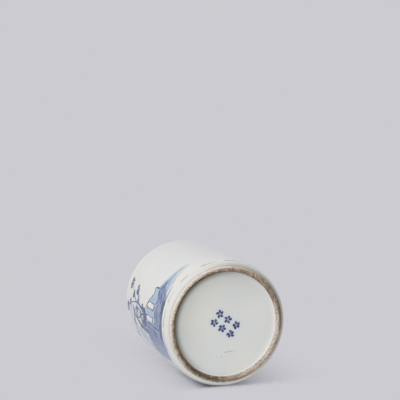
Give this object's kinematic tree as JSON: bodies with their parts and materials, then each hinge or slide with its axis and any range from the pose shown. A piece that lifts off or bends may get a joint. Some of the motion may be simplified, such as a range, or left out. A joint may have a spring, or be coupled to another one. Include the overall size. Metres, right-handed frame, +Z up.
{
  "type": "calligraphy brush holder pot",
  "caption": "Upright porcelain brush pot: a straight open cylinder with a rounded lip, a bare foot ring and blue landscape painting under clear glaze.",
  "frame": {"origin": "centre of the plane that the foot ring stands on", "axes": "+Z up along the pot's axis from the foot to the lip; -Y faces the middle of the painted landscape"},
  "size_m": [0.1096, 0.1096, 0.1236],
  "materials": {
    "glaze_outside": "clear gloss glaze over white porcelain, cobalt landscape painted under it",
    "glaze_inside": "clear gloss glaze over white porcelain",
    "glaze_base": "clear gloss glaze, faintly green-grey where it lies thick",
    "porcelain": "fired white clay",
    "biscuit": "bare fired clay, stained brown and rubbed pale on its inner half"
  },
  "bodies": {
    "root": {"wall": "porcelain", "base_slab": "porcelain", "foot_ring": "biscuit", "outer_glaze": "glaze_outside", "inner_glaze": "glaze_inside", "base_glaze": "glaze_base"}
  },
  "joints": []
}
